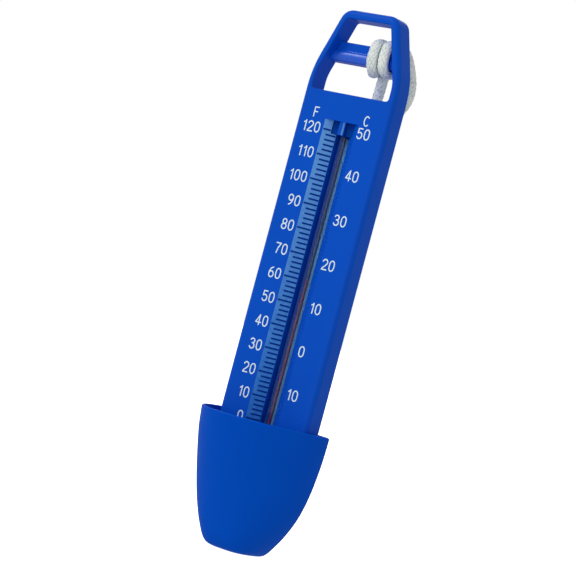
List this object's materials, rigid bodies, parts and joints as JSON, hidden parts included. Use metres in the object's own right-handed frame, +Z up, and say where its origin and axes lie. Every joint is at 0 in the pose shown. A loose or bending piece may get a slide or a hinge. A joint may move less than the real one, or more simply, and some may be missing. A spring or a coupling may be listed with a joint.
{
  "type": "floating pool thermometer",
  "caption": "Upright pool thermometer: a hollow plastic body with a handle, a glass spirit tube in a scale trough, a scoop cup round the bulb and a tether cord.",
  "frame": {"origin": "bottom centre of the bounding box of the thermometer without its cord: the level of the cup's flat base, on the body's centre plane, halfway between the cup's front and its back", "axes": "+Z up along the thermometer, from the cup to the handle; -Y the way the scale faces; +X to the right of someone who reads the scale"},
  "size_m": [0.049, 0.047, 0.2],
  "materials": {
    "body_plastic": "mid-blue moulded plastic, satin gloss",
    "cover_plastic": "mid-blue moulded plastic, satin",
    "cup_plastic": "mid-blue moulded plastic, smooth satin",
    "tube_glass": "clear drawn glass",
    "spirit": "red dyed spirit",
    "float_foam": "white closed-cell foam",
    "ballast_steel": "plain stainless steel",
    "screw_steel": "stainless steel",
    "tube_rubber": "soft black rubber",
    "cord": "braided off-white polypropylene cord",
    "band": "natural rubber band"
  },
  "bodies": {
    "thermometer": {"front_shell": "body_plastic", "rear_cover": "cover_plastic", "scoop_cup": "cup_plastic", "glass_tube": "tube_glass", "glass_tip": "tube_glass", "spirit_reservoir": "spirit", "spirit_column": "spirit", "tube_top_cushion": "tube_rubber", "tube_saddle": "tube_rubber", "float_block_left_lower": "float_foam", "float_block_left_upper": "float_foam", "float_block_right_lower": "float_foam", "float_block_right_upper": "float_foam", "ballast_left": "ballast_steel", "ballast_right": "ballast_steel", "cover_screw_left_upper": "screw_steel", "cover_screw_left_middle": "screw_steel", "cover_screw_right_upper": "screw_steel", "cover_screw_right_middle": "screw_steel", "cup_screw_left": "screw_steel", "cup_screw_right": "screw_steel", "cord_hitch": "cord", "cord_leg_left": "cord", "cord_leg_right": "cord", "cord_hank": "cord", "hank_band": "band", "cord_end_knot": "cord", "cord_tail_1": "cord", "cord_tail_2": "cord"},
    "column_top": {"spirit_meniscus": "spirit"}
  },
  "joints": [
    {"name": "column_rise", "type": "slide", "parent": "thermometer", "child": "column_top", "axis": [0, 0, 1], "range_m": [-0.042, 0.053], "deforming": ["spirit_column"]}
  ]
}
